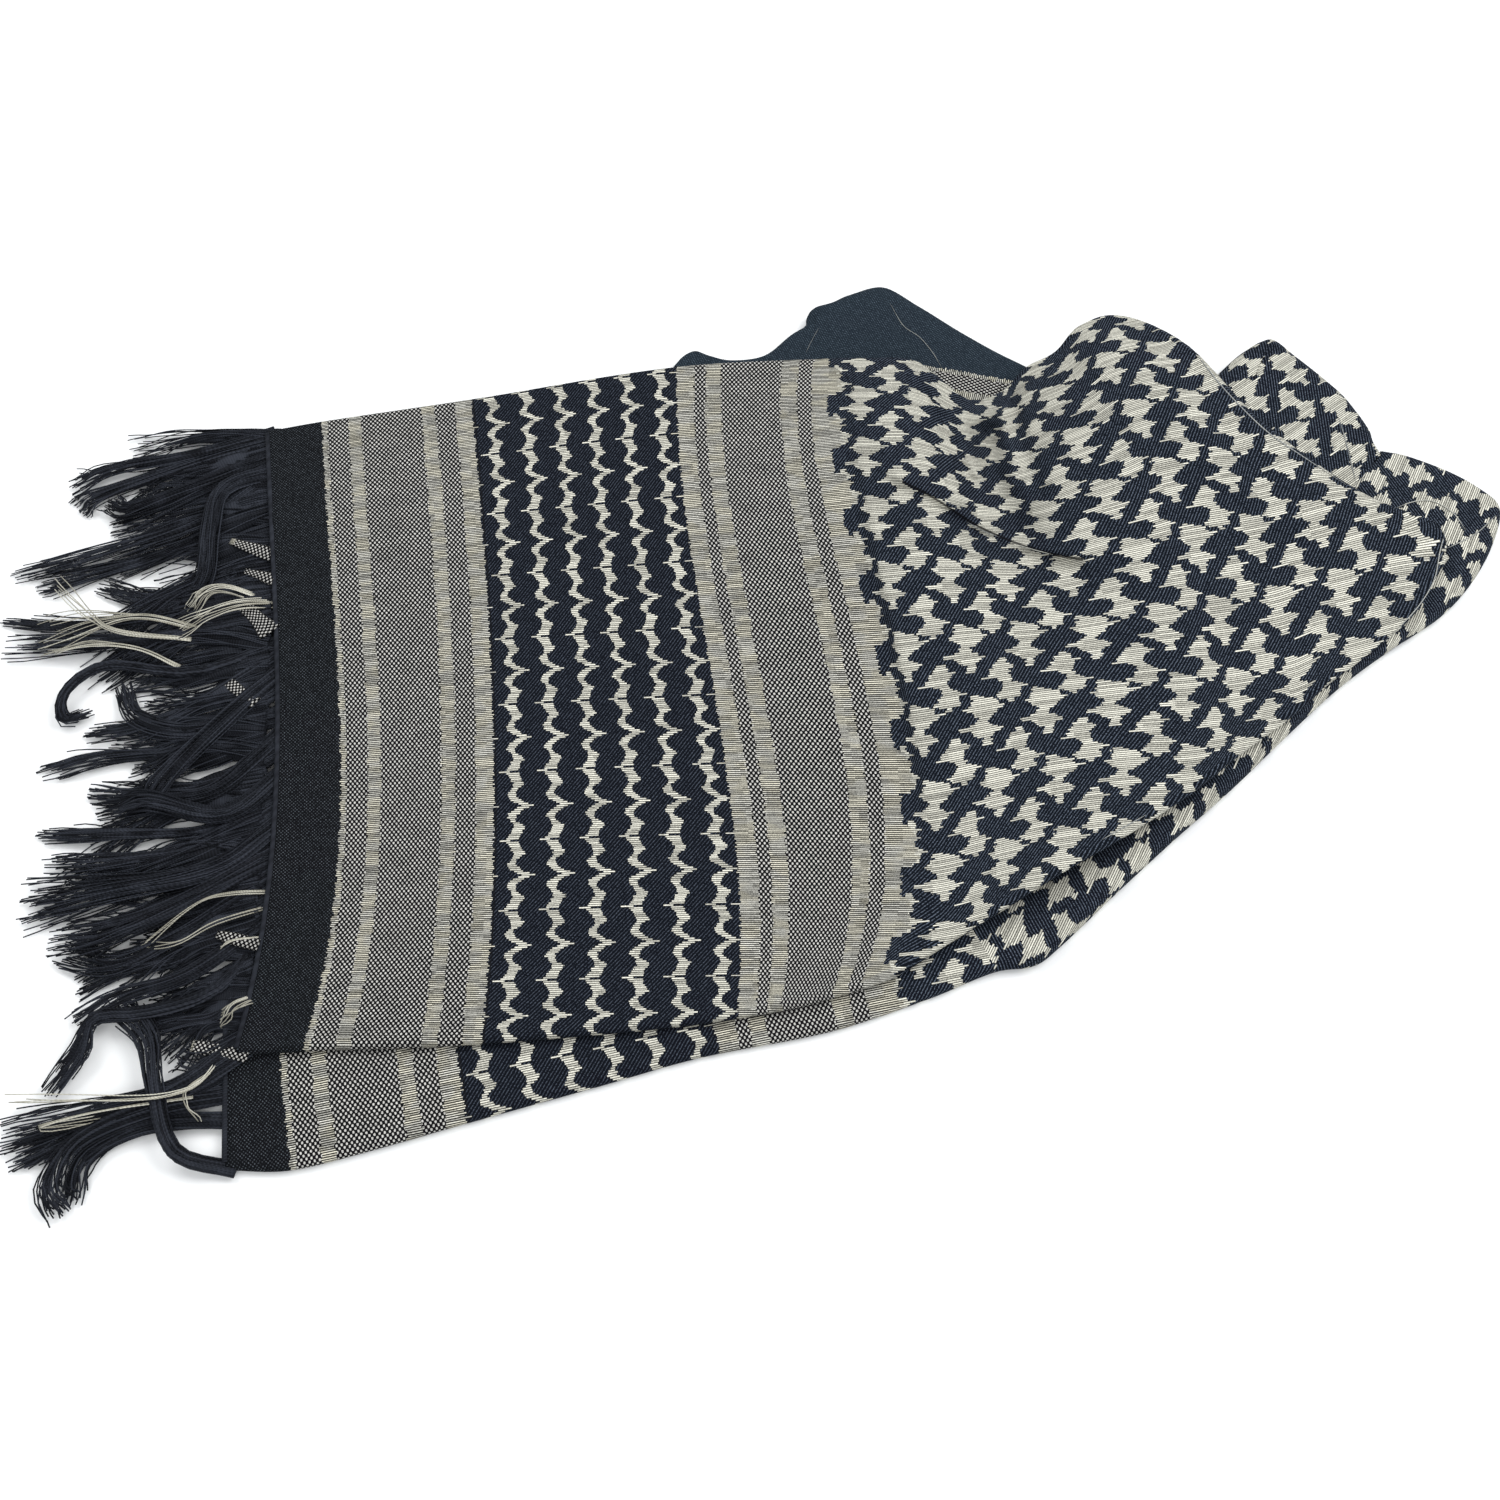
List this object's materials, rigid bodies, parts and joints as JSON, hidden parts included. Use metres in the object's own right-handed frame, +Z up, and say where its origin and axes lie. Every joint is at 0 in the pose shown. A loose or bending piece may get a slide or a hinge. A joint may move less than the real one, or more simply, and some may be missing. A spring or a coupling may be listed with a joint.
{
  "type": "folded scarf",
  "caption": "Square patterned scarf with striped borders and a knotted fringe, folded and laid flat, with the end away from the fringe gathered into a low heap.",
  "frame": {"origin": "centre of the part's bounding box in plan, on the surface that the cloth rests on", "axes": "+X runs from the fringed hems to the folded tip, +Y is the far side, +Z is up"},
  "size_m": [0.7071, 0.4716, 0.0417],
  "materials": {
    "patterned_cloth": "matt woven cotton, dark and cream yarn",
    "plain_border": "matt plain weave, near black",
    "fringe_yarn": "matt loose yarn, near black"
  },
  "bodies": {
    "root": {"top_panel": "patterned_cloth", "lower_panel": "patterned_cloth", "far_fold": "patterned_cloth", "back_border": "plain_border", "hidden_layers": "patterned_cloth", "upper_fringe": "fringe_yarn", "lower_fringe": "fringe_yarn"}
  },
  "joints": []
}
